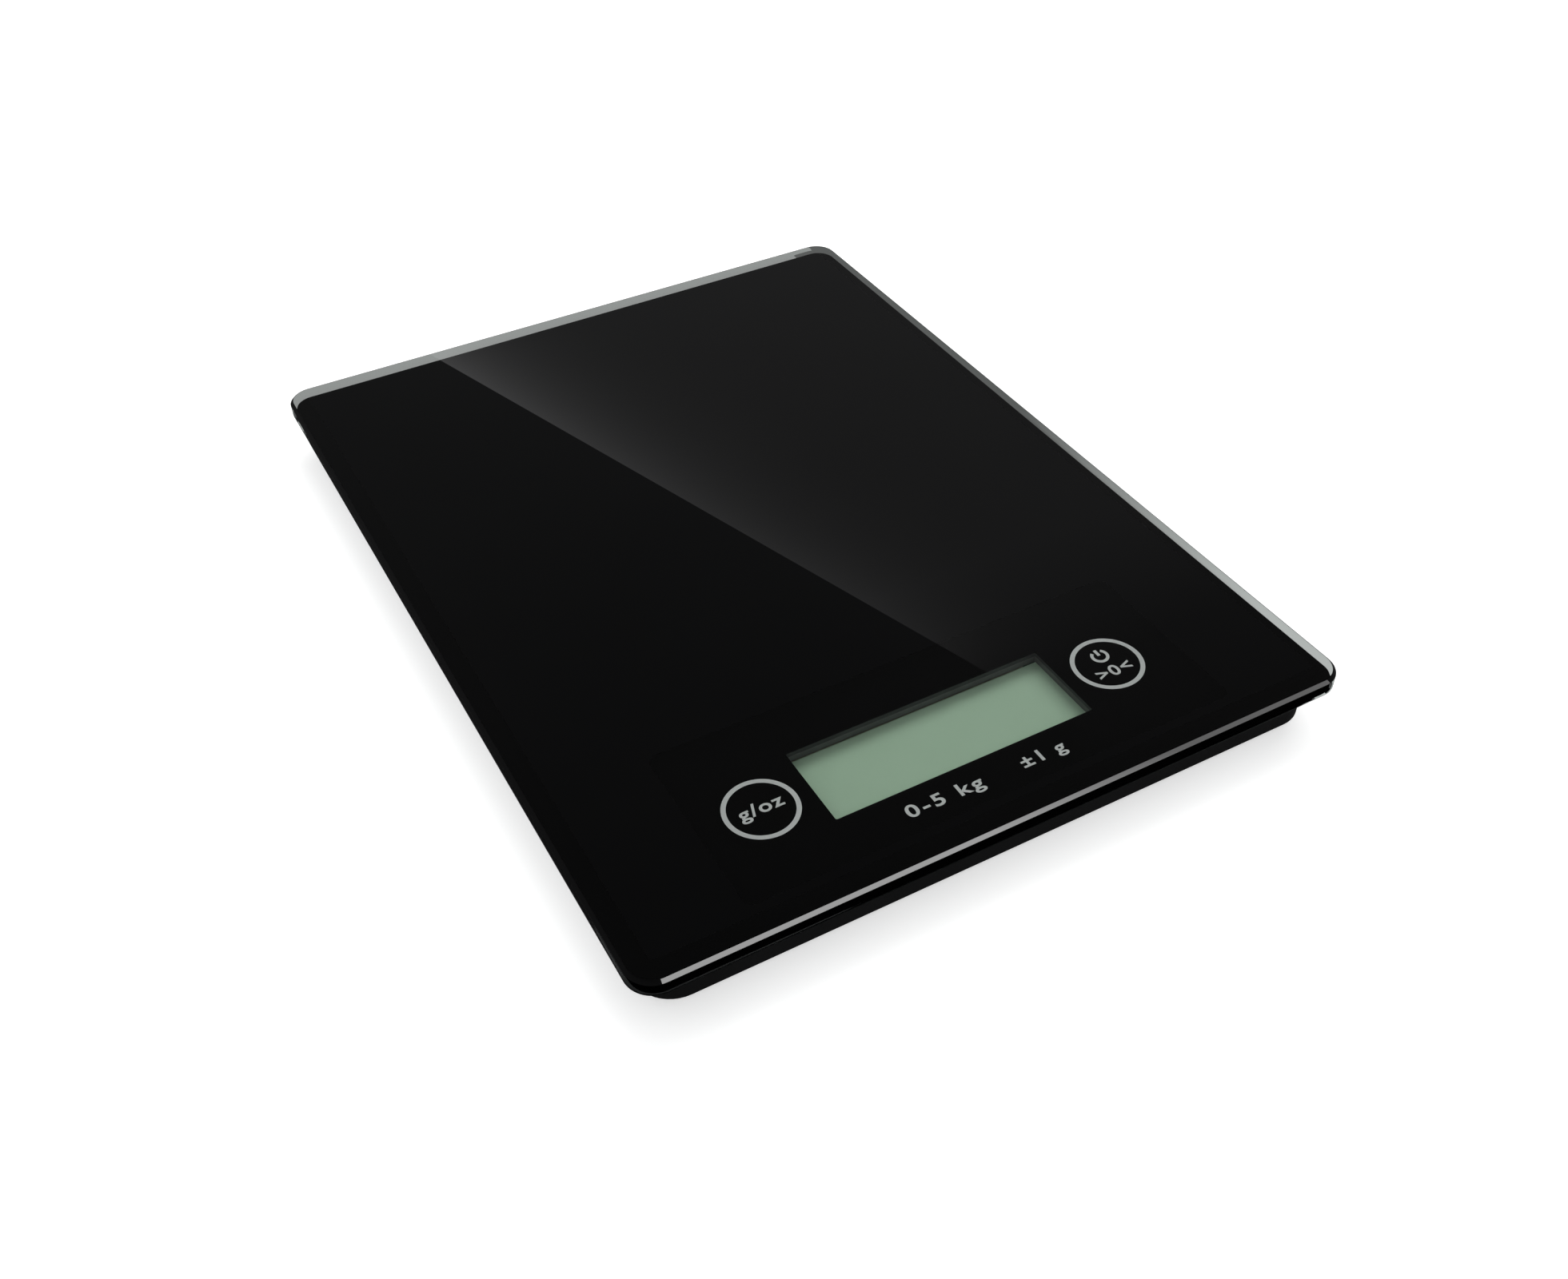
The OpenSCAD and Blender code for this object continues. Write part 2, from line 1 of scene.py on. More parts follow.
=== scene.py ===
import bpy, bmesh, math
from mathutils import Matrix, Vector


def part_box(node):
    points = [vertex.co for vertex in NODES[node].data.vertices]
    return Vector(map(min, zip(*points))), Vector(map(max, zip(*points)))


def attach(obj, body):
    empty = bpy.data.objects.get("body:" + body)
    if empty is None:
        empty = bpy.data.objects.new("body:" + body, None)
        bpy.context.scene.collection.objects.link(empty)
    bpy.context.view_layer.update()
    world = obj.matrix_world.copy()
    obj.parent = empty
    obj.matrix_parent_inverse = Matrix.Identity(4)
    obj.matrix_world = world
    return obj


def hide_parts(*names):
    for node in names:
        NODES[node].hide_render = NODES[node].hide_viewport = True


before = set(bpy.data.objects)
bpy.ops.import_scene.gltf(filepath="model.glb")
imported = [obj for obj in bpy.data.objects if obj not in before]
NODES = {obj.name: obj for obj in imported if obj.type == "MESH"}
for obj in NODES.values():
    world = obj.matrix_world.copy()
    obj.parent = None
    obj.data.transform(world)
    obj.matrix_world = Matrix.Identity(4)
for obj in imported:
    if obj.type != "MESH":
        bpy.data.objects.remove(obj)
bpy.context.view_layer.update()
scene = bpy.context.scene
MM = 0.001


# ------------------------------------------------------------------ materials

def new_material(name):
    m = bpy.data.materials.new(name)
    m.use_nodes = True
    nt = m.node_tree
    nt.nodes.clear()
    out = nt.nodes.new("ShaderNodeOutputMaterial")
    p = nt.nodes.new("ShaderNodeBsdfPrincipled")
    nt.links.new(p.outputs[0], out.inputs[0])
    return m, nt, p, out


def coords(nt):
    return nt.nodes.new("ShaderNodeTexCoord").outputs["Object"]


def noise(nt, vec, scale, detail=3.0, rough=0.5, distortion=0.0):
    n = nt.nodes.new("ShaderNodeTexNoise")
    n.inputs["Scale"].default_value = scale
    n.inputs["Detail"].default_value = detail
    n.inputs["Roughness"].default_value = rough
    n.inputs["Distortion"].default_value = distortion
    nt.links.new(vec, n.inputs["Vector"])
    return n.outputs["Fac"]


def ramp(nt, fac, stops):
    r = nt.nodes.new("ShaderNodeValToRGB")
    r.color_ramp.elements[0].position = stops[0][0]
    r.color_ramp.elements[0].color = (*stops[0][1], 1)
    r.color_ramp.elements[1].position = stops[-1][0]
    r.color_ramp.elements[1].color = (*stops[-1][1], 1)
    for pos, col in stops[1:-1]:
        e = r.color_ramp.elements.new(pos)
        e.color = (*col, 1)
    nt.links.new(fac, r.inputs[0])
    return r.outputs[0]


def spread(nt, fac, lo, hi, a=0.3, b=0.7):
    n = nt.nodes.new("ShaderNodeMapRange")
    n.inputs["From Min"].default_value = a
    n.inputs["From Max"].default_value = b
    n.inputs["To Min"].default_value = lo
    n.inputs["To Max"].default_value = hi
    nt.links.new(fac, n.inputs["Value"])
    return n.outputs["Result"]


def bump(nt, height, distance, strength=1.0, normal=None):
    b = nt.nodes.new("ShaderNodeBump")
    b.inputs["Distance"].default_value = distance
    b.inputs["Strength"].default_value = strength
    nt.links.new(height, b.inputs["Height"])
    if normal is not None:
        nt.links.new(normal, b.inputs["Normal"])
    return b.outputs[0]


def grained(name, dark, light, rough, grain=2600, depth=0.012, metallic=0.0, spec=0.5, blotch=60, aniso=None, coat=0.0):
    """Moulded or metal surface: slow colour drift, fine grain in roughness and relief."""
    m, nt, p, _ = new_material(name)
    vec = coords(nt)
    if aniso is not None:
        mp = nt.nodes.new("ShaderNodeMapping")
        mp.inputs["Scale"].default_value = aniso
        nt.links.new(vec, mp.inputs["Vector"])
        fine_vec = mp.outputs[0]
    else:
        fine_vec = vec
    slow = noise(nt, vec, blotch, 4, 0.55)
    fine = noise(nt, fine_vec, grain, 3, 0.6)
    nt.links.new(ramp(nt, slow, [(0.3, dark), (0.7, light)]), p.inputs["Base Color"])
    nt.links.new(spread(nt, fine, rough[0], rough[1]), p.inputs["Roughness"])
    nt.links.new(bump(nt, fine, depth * MM, 1.0), p.inputs["Normal"])
    p.inputs["Metallic"].default_value = metallic
    p.inputs["Specular IOR Level"].default_value = spec
    p.inputs["Coat Weight"].default_value = coat
    return m


def glass(name, tint, rough, ior=1.52, lamp_tint=(0.93, 0.96, 0.94)):
    """Clear glass that lets the lamps through to what lies under it."""
    m, nt, p, out = new_material(name)
    vec = coords(nt)
    drift = noise(nt, vec, 14, 2, 0.4)
    smudge = noise(nt, vec, 55, 5, 0.6, 0.6)
    nt.links.new(ramp(nt, drift, [(0.3, tint), (0.7, tuple(min(1, c * 1.012) for c in tint))]), p.inputs["Base Color"])
    nt.links.new(spread(nt, smudge, rough[0], rough[1], 0.45, 0.8), p.inputs["Roughness"])
    p.inputs["Transmission Weight"].default_value = 1.0
    p.inputs["IOR"].default_value = ior
    clear = nt.nodes.new("ShaderNodeBsdfTransparent")
    clear.inputs["Color"].default_value = (*lamp_tint, 1)
    path = nt.nodes.new("ShaderNodeLightPath")
    mix = nt.nodes.new("ShaderNodeMixShader")
    nt.links.new(path.outputs["Is Shadow Ray"], mix.inputs[0])
    nt.links.new(p.outputs[0], mix.inputs[1])
    nt.links.new(clear.outputs[0], mix.inputs[2])
    nt.links.new(mix.outputs[0], out.inputs[0])
    return m


MAT = {}
MAT["glass"] = glass("clear_glass", (0.955, 0.980, 0.968), (0.0, 0.003))
MAT["ground"] = glass("ground_edge", (0.84, 0.88, 0.86), (0.10, 0.18), 1.03)
MAT["black_print"] = grained("black_print", (0.0005, 0.0005, 0.0006), (0.0009, 0.0009, 0.0010), (0.5, 0.62), 900, 0.0012, spec=0.0)


def backed_glass(name, rough):
    """Polished glass seen with the black ink straight behind it."""
    m, nt, p, _ = new_material(name)
    vec = coords(nt)
    slow = noise(nt, vec, 26, 3, 0.5)
    smudge = noise(nt, vec, 48, 6, 0.62, 0.7)
    nt.links.new(ramp(nt, slow, [(0.3, (0.0005, 0.0005, 0.0006)), (0.7, (0.0009, 0.0009, 0.0010))]), p.inputs["Base Color"])
    nt.links.new(spread(nt, smudge, rough[0], rough[1], 0.5, 0.85), p.inputs["Roughness"])
    p.inputs["IOR"].default_value = 1.52
    p.inputs["Specular IOR Level"].default_value = 0.5
    return m


MAT["backed"] = backed_glass("backed_glass", (0.0, 0.006))
MAT["bevel"] = backed_glass("polished_bevel", (0.03, 0.05))
MAT["white_print"] = grained("white_print", (0.84, 0.85, 0.85), (0.90, 0.91, 0.91), (0.5, 0.65), 4000, 0.002, spec=0.0, blotch=900)
MAT["tape"] = grained("foam_tape", (0.095, 0.096, 0.096), (0.125, 0.126, 0.126), (0.8, 0.95), 5000, 0.04, spec=0.2, blotch=300)
MAT["body"] = grained("body_plastic", (0.0030, 0.0032, 0.0034), (0.0052, 0.0056, 0.0060), (0.40, 0.56), 3800, 0.010, spec=0.16, blotch=45)
MAT["foot"] = grained("foot_plastic", (0.010, 0.010, 0.011), (0.018, 0.018, 0.019), (0.4, 0.55), 3600, 0.010, spec=0.35, blotch=120)
MAT["rubber"] = grained("pad_rubber", (0.030, 0.030, 0.031), (0.055, 0.055, 0.056), (0.7, 0.9), 2600, 0.03, spec=0.3, blotch=260)
MAT["screw"] = grained("zinc_screw", (0.42, 0.42, 0.44), (0.60, 0.60, 0.61), (0.22, 0.38), 2200, 0.004, metallic=1.0, blotch=500)
MAT["cell"] = grained("stainless_can", (0.56, 0.56, 0.57), (0.70, 0.70, 0.70), (0.18, 0.32), 900, 0.002, metallic=1.0, blotch=200, aniso=(1, 9, 1))
MAT["contact"] = grained("nickel_strip", (0.58, 0.56, 0.50), (0.72, 0.70, 0.63), (0.2, 0.34), 1200, 0.002, metallic=1.0, blotch=300)
MAT["board"] = grained("solder_mask", (0.010, 0.075, 0.030), (0.016, 0.105, 0.042), (0.25, 0.4), 1500, 0.006, blotch=220, coat=0.2)
MAT["epoxy"] = grained("black_epoxy", (0.004, 0.004, 0.004), (0.009, 0.009, 0.009), (0.08, 0.2), 700, 0.01, blotch=400)
MAT["smd"] = grained("chip_ceramic", (0.05, 0.035, 0.022), (0.11, 0.08, 0.05), (0.4, 0.6), 3000, 0.006, blotch=900)
MAT["carrier"] = grained("carrier_plastic", (0.036, 0.037, 0.038), (0.050, 0.051, 0.052), (0.5, 0.65), 3600, 0.012, spec=0.2, blotch=60)
MAT["lcd_frame"] = grained("display_plastic", (0.105, 0.107, 0.107), (0.130, 0.132, 0.132), (0.45, 0.6), 3500, 0.012, spec=0.3, blotch=150)
MAT["lcd_glass"] = glass("display_glass", (0.9, 0.95, 0.9), (0.02, 0.05), 1.5)
MAT["reflector"] = grained("reflector_film", (0.46, 0.48, 0.44), (0.54, 0.56, 0.52), (0.35, 0.5), 2500, 0.004, blotch=90)
MAT["zebra"] = grained("contact_rubber", (0.42, 0.38, 0.28), (0.55, 0.51, 0.40), (0.5, 0.7), 2000, 0.01, blotch=700, aniso=(1, 0.05, 0.05))
MAT["spring"] = grained("spring_wire", (0.50, 0.48, 0.42), (0.66, 0.64, 0.57), (0.15, 0.3), 2000, 0.003, metallic=1.0, blotch=500)
MAT["load"] = grained("stamped_steel", (0.46, 0.47, 0.48), (0.60, 0.61, 0.62), (0.25, 0.4), 900, 0.004, metallic=1.0, blotch=160, aniso=(1, 12, 1))
MAT["gauge"] = grained("gauge_film", (0.30, 0.14, 0.02), (0.42, 0.22, 0.05), (0.3, 0.45), 2500, 0.004, blotch=800)
MAT["sealant"] = grained("white_sealant", (0.62, 0.62, 0.58), (0.72, 0.72, 0.68), (0.4, 0.6), 700, 0.05, blotch=400)
MAT["red"] = grained("red_insulation", (0.30, 0.008, 0.008), (0.42, 0.014, 0.012), (0.35, 0.5), 1500, 0.01, blotch=260)
MAT["white"] = grained("white_insulation", (0.60, 0.60, 0.57), (0.70, 0.70, 0.67), (0.35, 0.5), 1500, 0.01, blotch=260)
MAT["black"] = grained("black_insulation", (0.006, 0.006, 0.006), (0.013, 0.013, 0.013), (0.35, 0.5), 1500, 0.01, blotch=260)
MAT["solder"] = grained("solder", (0.55, 0.56, 0.57), (0.68, 0.69, 0.70), (0.12, 0.26), 1500, 0.004, metallic=1.0, blotch=700)


def display_material():
    """Grey-green front film of an unlit display."""
    m, nt, p, _ = new_material("polariser_film")
    vec = coords(nt)
    slow = noise(nt, vec, 35, 3, 0.5)
    fine = noise(nt, vec, 5200, 2, 0.5)
    nt.links.new(ramp(nt, slow, [(0.3, (0.602, 0.803, 0.612)), (0.7, (0.642, 0.843, 0.652))]), p.inputs["Base Color"])
    nt.links.new(spread(nt, fine, 0.42, 0.55), p.inputs["Roughness"])
    nt.links.new(bump(nt, fine, 0.0015 * MM), p.inputs["Normal"])
    p.inputs["Specular IOR Level"].default_value = 0.3
    return m


MAT["film"] = display_material()


def paint(obj, *mats):
    obj.data.materials.clear()
    for m in mats:
        obj.data.materials.append(m)


PAINT = {
    "glass_platform": "glass", "back_print": "black_print", "key_ring_print": "white_print", "bond_tape": "tape",
    "window_gasket": "tape", "carrier_frame": "carrier", "bottom_cover": "body", "cover_screws": "screw",
    "battery_door": "body", "coin_cell": "cell", "negative_contact": "contact", "positive_contact": "contact",
    "circuit_board": "board", "controller_blob": "epoxy", "surface_parts": "smd", "board_screws": "screw",
    "display_frame": "lcd_frame", "display_front_glass": "lcd_glass", "display_rear_glass": "lcd_glass",
    "display_polariser": "film", "display_reflector": "reflector", "contact_strip": "zebra", "touch_springs": "spring",
    "load_cell_fl": "load", "load_cell_fr": "load", "load_cell_bl": "load", "load_cell_br": "load",
    "strain_gauges": "gauge", "gauge_sealant": "sealant", "foot_fl": "foot", "foot_fr": "foot", "foot_bl": "foot",
    "foot_br": "foot", "foot_pad_fl": "rubber", "foot_pad_fr": "rubber", "foot_pad_bl": "rubber",
    "foot_pad_br": "rubber", "red_leads": "red", "white_leads": "white", "black_leads": "black",
    "solder_joints": "solder",
}
for node_name, key in PAINT.items():
    paint(NODES[node_name], MAT[key])


# ------------------------------------------------------------------ mesh helpers

def finish_mesh(name, bm, mats, body="scale", weighted=True):
    bm.normal_update()
    me = bpy.data.meshes.new(name)
    bm.to_mesh(me)
    bm.free()
    ob = bpy.data.objects.new(name, me)
    scene.collection.objects.link(ob)
    for m in mats:
        me.materials.append(m)
    if weighted:
        for f in me.polygons:
            f.use_smooth = True
        w = ob.modifiers.new("normals", "WEIGHTED_NORMAL")
        w.mode = "FACE_AREA"
        w.weight = 100
        w.keep_sharp = True
    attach(ob, body)
    return ob


def rounded(w, l, r, n=20, cx=0.0, cy=0.0):
    """Outline of a rounded rectangle, anticlockwise, in metres."""
    pts = []
    r = max(r, 1e-5)
    for sx, sy, a0 in ((1, 1, 0), (-1, 1, 90), (-1, -1, 180), (1, -1, 270)):
        for k in range(n + 1):
            a = math.radians(a0 + 90 * k / n)
            pts.append((cx + sx * (w / 2 - r) + r * math.cos(a), cy + sy * (l / 2 - r) + r * math.sin(a)))
    return pts


def fillet(profile, radius, segs=3):
    """Rounds the inner corners of an open (inset, z) profile."""
    out = [profile[0]]
    for i in range(1, len(profile) - 1):
        a, b, c = Vector(profile[i - 1]), Vector(profile[i]), Vector(profile[i + 1])
        u, v = (a - b).normalized(), (c - b).normalized()
        d = min(radius, (a - b).length * 0.45, (c - b).length * 0.45)
        for k in range(segs + 1):
            t = k / segs
            q = (b + u * d) * (1 - t) ** 2 + b * 2 * t * (1 - t) + (b + v * d) * t * t
            out.append((q.x, q.y))
    out.append(profile[-1])
    return out


def slab(name, w, l, r, profile, mats, rings=(), n=20, pick=None, body="scale"):
    """Closed rounded slab. profile lists (inset, z) from the bottom edge to the top edge, in metres."""
    bm = bmesh.new()
    rows = []
    for inset, z in profile:
        rows.append([bm.verts.new((x, y, z)) for x, y in rounded(w - 2 * inset, l - 2 * inset, r - inset, n)])
    count = len(rows[0])
    for i in range(len(rows) - 1):
        for k in range(count):
            f = bm.faces.new((rows[i][k], rows[i][(k + 1) % count], rows[i + 1][(k + 1) % count], rows[i + 1][k]))
            if pick is not None:
                f.material_index = pick(i)
    bm.faces.new(list(reversed(rows[0])))
    bm.faces.new(rows[-1])
    return finish_mesh(name, bm, mats, body)


def prism(name, loops, z0, z1, mats, body="scale"):
    """Flat solid from an outer loop and inner loops of (x, y) points."""
    bm = bmesh.new()
    edges = []
    for loop in loops:
        vs = [bm.verts.new((x, y, z1)) for x, y in loop]
        for k in range(len(vs)):
            edges.append(bm.edges.new((vs[k], vs[(k + 1) % len(vs)])))
    bmesh.ops.triangle_fill(bm, edges=edges, use_beauty=True)
    bmesh.ops.recalc_face_normals(bm, faces=bm.faces)
    if bm.faces and sum(f.normal.z for f in bm.faces) < 0:
        bmesh.ops.reverse_faces(bm, faces=bm.faces)
    top = list(bm.faces)
    ext = bmesh.ops.extrude_face_region(bm, geom=top, use_keep_orig=True)
    moved = [g for g in ext["geom"] if isinstance(g, bmesh.types.BMVert)]
    for v in moved:
        v.co.z = z0
    bmesh.ops.recalc_face_normals(bm, faces=bm.faces)
    return finish_mesh(name, bm, mats, body, weighted=False)


def circle(cx, cy, r, n=96):
    return [(cx + r * math.cos(2 * math.pi * k / n), cy + r * math.sin(2 * math.pi * k / n)) for k in range(n)]


# ------------------------------------------------------------------ the glass and its print

g_lo, g_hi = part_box("glass_platform")
W, L = g_hi.x - g_lo.x, g_hi.y - g_lo.y
Z0, Z1 = g_lo.z, g_hi.z
p_lo, p_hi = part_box("back_print")
k_lo, k_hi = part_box("key_ring_print")
CORNER = 6.0 * MM
TOP_BEVEL, LOW_BEVEL = 0.75 * MM, 0.4 * MM
RING_R, RING_LINE = 7.75 * MM, 1.0 * MM
key_x, key_y = k_hi.x - RING_R, (k_lo.y + k_hi.y) / 2
window_w, window_l, window_y = 59.7 * MM, 19.8 * MM, -78.6 * MM

profile = [(LOW_BEVEL + 0.3 * MM, Z0), (LOW_BEVEL, Z0), (0, Z0 + LOW_BEVEL), (0, Z1 - TOP_BEVEL), (TOP_BEVEL, Z1), (TOP_BEVEL + 0.3 * MM, Z1)]
prof = fillet(profile, 0.1 * MM, 3)


def glass_slot(i):
    """0 clear, 1 polished upper bevel, 2 ground side."""
    za, zb = prof[i][1], prof[i + 1][1]
    ia, ib = prof[i][0], prof[i + 1][0]
    mid = (za + zb) / 2
    if abs(za - zb) < 1e-7:
        return 0
    if mid > Z1 - TOP_BEVEL - 0.03 * MM:
        return 1
    return 2


def build_plate():
    bm = bmesh.new()
    n = 24
    rows = [[bm.verts.new((x, y, z)) for x, y in rounded(W - 2 * i, L - 2 * i, CORNER - i, n)] for i, z in prof]
    rim = 5 * MM
    rows.append([bm.verts.new((x, y, Z1)) for x, y in rounded(W - 2 * rim, L - 2 * rim, CORNER - rim, n)])
    count = len(rows[0])
    for i in range(len(rows) - 1):
        for k in range(count):
            f = bm.faces.new((rows[i][k], rows[i][(k + 1) % count], rows[i + 1][(k + 1) % count], rows[i + 1][k]))
            f.material_index = glass_slot(i) if i < len(prof) - 1 else 0
    bm.faces.new(list(reversed(rows[0]))).material_index = 0
    # the top between the rim and the control strip has ink straight behind it
    strip = [bm.verts.new((x, y, Z1)) for x, y in rounded(110 * MM, 42.5 * MM, 2 * MM, 6, 0, -79.25 * MM)]
    bm.faces.new(strip).material_index = 0
    loop = rows[-1]
    edges = []
    for vs in (loop, strip):
        for k in range(len(vs)):
            e = bm.edges.get((vs[k], vs[(k + 1) % len(vs)])) or bm.edges.new((vs[k], vs[(k + 1) % len(vs)]))
            edges.append(e)
    made = bmesh.ops.triangle_fill(bm, edges=edges, use_beauty=True, normal=(0, 0, 1))
    for f in made["geom"]:
        if isinstance(f, bmesh.types.BMFace):
            f.material_index = 3
            if f.normal.z < 0:
                f.normal_flip()
    return finish_mesh("glass_plate", bm, [MAT["glass"], MAT["bevel"], MAT["ground"], MAT["backed"]])


plate = build_plate()
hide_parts("glass_platform")

# the ink sits a hair inside the glass, as fired ink does, so no gap shows between them
INK = Z0 + 0.02 * MM
loops = [rounded(p_hi.x - p_lo.x, p_hi.y - p_lo.y, CORNER - 1.2 * MM, 24, (p_lo.x + p_hi.x) / 2, (p_lo.y + p_hi.y) / 2),
         rounded(window_w, window_l, 0.35 * MM, 4, 0, window_y)]
mask = prism("ink_layer", loops, p_lo.z, INK, [MAT["black_print"]])
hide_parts("back_print")

for side, tag in ((1, "right"), (-1, "left")):
    ring = prism("key_ring_" + tag, [circle(side * key_x, key_y, RING_R), circle(side * key_x, key_y, RING_R - RING_LINE)],
                 Z0 + 0.001 * MM, INK + 0.015 * MM, [MAT["white_print"]])
    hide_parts("key_ring_print")


def legend(name, body_text, height, x, y, spacing=1.0, offset=0.0, stretch=1.0):
    """Generic lettering as a thin flat solid in white ink, as tall as given, centred on x, y."""
    cu = bpy.data.curves.new(name + "_curve", "FONT")
    cu.body = body_text
    cu.size = 4 * MM
    cu.space_character = spacing
    cu.align_x, cu.align_y = "CENTER", "CENTER"
    cu.extrude = 0.007 * MM
    cu.offset = offset
    cu.resolution_u = 6
    tmp = bpy.data.objects.new(name + "_tmp", cu)
    scene.collection.objects.link(tmp)
    bpy.context.view_layer.update()
    me = bpy.data.meshes.new_from_object(tmp.evaluated_get(bpy.context.evaluated_depsgraph_get()))
    me.name = name
    bpy.data.objects.remove(tmp)
    xs = [v.co.x for v in me.vertices]
    ys = [v.co.y for v in me.vertices]
    k = height / (max(ys) - min(ys))
    print(name, "width mm", round((max(xs) - min(xs)) * k * stretch / MM, 2))
    me.transform(Matrix.Translation((-(min(xs) + max(xs)) / 2, -(min(ys) + max(ys)) / 2, 0)))
    me.transform(Matrix.Diagonal((k * stretch, k, 1, 1)))
    me.transform(Matrix.Translation((x, y, INK + 0.009 * MM)))
    me.materials.clear()
    me.materials.append(MAT["white_print"])
    ob = bpy.data.objects.new(name, me)
    scene.collection.objects.link(ob)
    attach(ob, "scale")
    return ob


def power_mark(cx, cy, r, line):
    """Plain on/off mark: an open circle with a bar."""
    n = 40
    gap = math.radians(38)
    loop = []
    for rad, order in ((r + line / 2, range(n + 1)), (r - line / 2, range(n, -1, -1))):
        for k in order:
            a = math.pi / 2 + gap + (2 * math.pi - 2 * gap) * k / n
            loop.append((cx + rad * math.cos(a), cy + rad * math.sin(a)))
    bar = [(cx - line / 2, cy + 0.1 * r), (cx + line / 2, cy + 0.1 * r), (cx + line / 2, cy + 1.2 * r), (cx - line / 2, cy + 1.2 * r)]
    for name, shape in (("legend_power_ring", loop), ("legend_power_bar", bar)):
        prism(name, [shape], INK + 0.001 * MM, INK + 0.016 * MM, [MAT["white_print"]])


legend("legend_units", "g/oz", 4.2 * MM, -key_x, key_y - 0.1 * MM, 1.12, 0.00008, 1.15)
power_mark(key_x, key_y + 2.6 * MM, 1.65 * MM, 0.70 * MM)
legend("legend_zero", ">0<", 3.1 * MM, key_x, key_y - 2.3 * MM, 1.12, 0.00008, 1.15)
legend("legend_range", "0-5 kg", 4.2 * MM, -9.0 * MM, -94.2 * MM, 1.22, 0.00008, 1.28)
legend("legend_step", "\u00b11 g", 4.0 * MM, 13.8 * MM, -94.2 * MM, 1.15, 0.00008, 1.22)

# ------------------------------------------------------------------ edges of the moulded parts

for node_name, width in (("bottom_cover", 0.18), ("carrier_frame", 0.12), ("battery_door", 0.14), ("display_frame", 0.1),
                         ("foot_fl", 0.15), ("foot_fr", 0.15), ("foot_bl", 0.15), ("foot_br", 0.15),
                         ("foot_pad_fl", 0.12), ("foot_pad_fr", 0.12), ("foot_pad_bl", 0.12), ("foot_pad_br", 0.12)):
    ob = NODES[node_name]
    weld = ob.modifiers.new("weld", "WELD")
    weld.merge_threshold = 2e-6
    bev = ob.modifiers.new("edges", "BEVEL")
    bev.limit_method = "ANGLE"
    bev.angle_limit = math.radians(38)
    bev.width = width * MM
    bev.segments = 2
    bev.use_clamp_overlap = True
    bev.harden_normals = False
    w = ob.modifiers.new("normals", "WEIGHTED_NORMAL")
    w.mode = "FACE_AREA"
    w.weight = 100
    w.keep_sharp = False

# ------------------------------------------------------------------ camera

f_px, az, el, roll = 2016.341, 0.485405, 0.722990, -0.0263232
dist, off_x, off_y = 371.513 * MM, 6.7064 * MM, -28.2484 * MM
back = Vector((-math.sin(az) * math.cos(el), -math.cos(az) * math.cos(el), math.sin(el)))
right = Vector((0, 0, 1)).cross(back).normalized()
up = back.cross(right)
r2 = right * math.cos(roll) + up * math.sin(roll)
u2 = -right * math.sin(roll) + up * math.cos(roll)
eye = back * dist + r2 * off_x + u2 * off_y + Vector((0, 0, Z1))
cam_data = bpy.data.cameras.new("camera")
cam_data.sensor_fit = "HORIZONTAL"
cam_data.sensor_width = 36.0
cam_data.lens = f_px / 1961 * 36.0
cam_data.clip_start = 0.005
cam_data.clip_end = 50
cam = bpy.data.objects.new("camera", cam_data)
cam.matrix_world = Matrix(((r2.x, u2.x, back.x, eye.x), (r2.y, u2.y, back.y, eye.y), (r2.z, u2.z, back.z, eye.z), (0, 0, 0, 1)))
scene.collection.objects.link(cam)
scene.camera = cam

# ------------------------------------------------------------------ floor, lamps and cards

def stage_plane(name, size, z, mat):
    me = bpy.data.meshes.new(name)
    s = size / 2
    me.from_pydata([(-s, -s, z), (s, -s, z), (s, s, z), (-s, s, z)], [], [(0, 1, 2, 3)])
    me.materials.append(mat)
    ob = bpy.data.objects.new(name, me)
    scene.collection.objects.link(ob)
    return ob


fm, fnt, fp, fout = new_material("pale_floor")
fp.inputs["Roughness"].default_value = 0.9
fp.inputs["Specular IOR Level"].default_value = 0.1
fn = noise(fnt, coords(fnt), 3, 2, 0.5)
fnt.links.new(ramp(fnt, fn, [(0.3, (0.84, 0.845, 0.845)), (0.7, (0.86, 0.865, 0.865))]), fp.inputs["Base Color"])
fp.inputs["Emission Color"].default_value = (1.0, 1.0, 1.0, 1)
fp.inputs["Emission Strength"].default_value = 0.58
floor = stage_plane("floor", 9.0, -0.00005, fm)
floor.visible_glossy = False
floor.visible_transmission = False


def area(name, loc, target, size, power, colour=(1, 1, 1), glossy=True):
    la = bpy.data.lights.new(name, "AREA")
    la.shape = "SQUARE"
    la.size = size
    la.energy = power
    la.color = colour
    ob = bpy.data.objects.new(name, la)
    ob.location = loc
    d = Vector(target) - Vector(loc)
    ob.rotation_euler = d.to_track_quat("-Z", "Y").to_euler()
    ob.visible_transmission = False
    ob.visible_camera = False
    ob.visible_glossy = glossy
    scene.collection.objects.link(ob)
    return ob


area("overhead", (0.0, 0.0, 1.3), (0, 0, 0), 3.2, 27.0, glossy=False)
area("rear_softbox", (0.46, 0.80, 1.44), (0, 0, 0), 1.0, 7.4, glossy=False)
area("key", (0.95, 0.25, 0.85), (0, 0, 0), 0.5, 1.6, (1.0, 0.995, 0.985), glossy=False)
area("fill", (-1.1, -0.6, 0.9), (0, 0, 0), 0.7, 1.0, (0.97, 0.99, 1.0), glossy=False)


def math_node(nt, op, a, b=None):
    n = nt.nodes.new("ShaderNodeMath")
    n.operation = op
    for slot_in, v in ((0, a), (1, b)):
        if v is None:
            continue
        if isinstance(v, (int, float)):
            n.inputs[slot_in].default_value = v
        else:
            nt.links.new(v, n.inputs[slot_in])
    return n.outputs[0]


